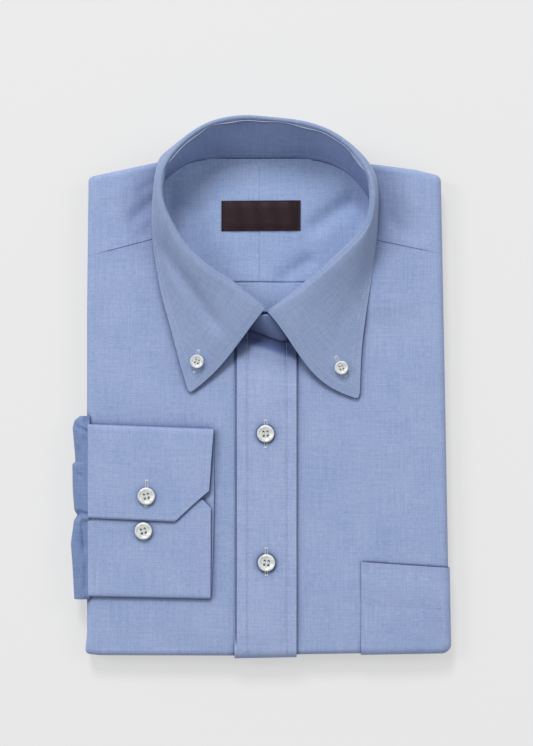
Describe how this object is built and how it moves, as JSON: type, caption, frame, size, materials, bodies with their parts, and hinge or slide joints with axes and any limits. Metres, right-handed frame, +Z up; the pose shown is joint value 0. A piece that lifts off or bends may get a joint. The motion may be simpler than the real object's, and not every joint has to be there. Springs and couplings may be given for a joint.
{
  "type": "folded long sleeve dress shirt",
  "caption": "Long sleeve dress shirt with a button-down collar, pressed and folded flat with its front up, one cuff lying on the front.",
  "frame": {"origin": "on the flat underside of the folded shirt, on the centre line of the button placket", "axes": "+X towards the wearer's left side, +Y from the tail fold towards the collar, +Z up from the surface it lies on"},
  "size_m": [0.2509, 0.3541, 0.0433],
  "materials": {
    "shirting": "crisp pressed blue end-on-end cotton",
    "shirting_inside": "the inside of the same cotton",
    "label": "dark brown woven satin, bare",
    "buttons": "polished pearl white"
  },
  "bodies": {
    "root": {"folded_layers": "shirting", "front_right": "shirting", "front_left": "shirting", "yoke_right": "shirting", "yoke_left": "shirting", "placket": "shirting", "pocket": "shirting", "yoke_inside_right": "shirting_inside", "yoke_inside_left": "shirting_inside", "back_panel": "shirting_inside", "neck_label": "label", "collar_stand": "shirting", "collar_leaf": "shirting", "cuff": "shirting", "sleeve_end": "shirting", "button_front_1": "buttons", "button_front_2": "buttons", "button_cuff_1": "buttons", "button_cuff_2": "buttons", "button_collar_right": "buttons", "button_collar_left": "buttons"}
  },
  "joints": []
}
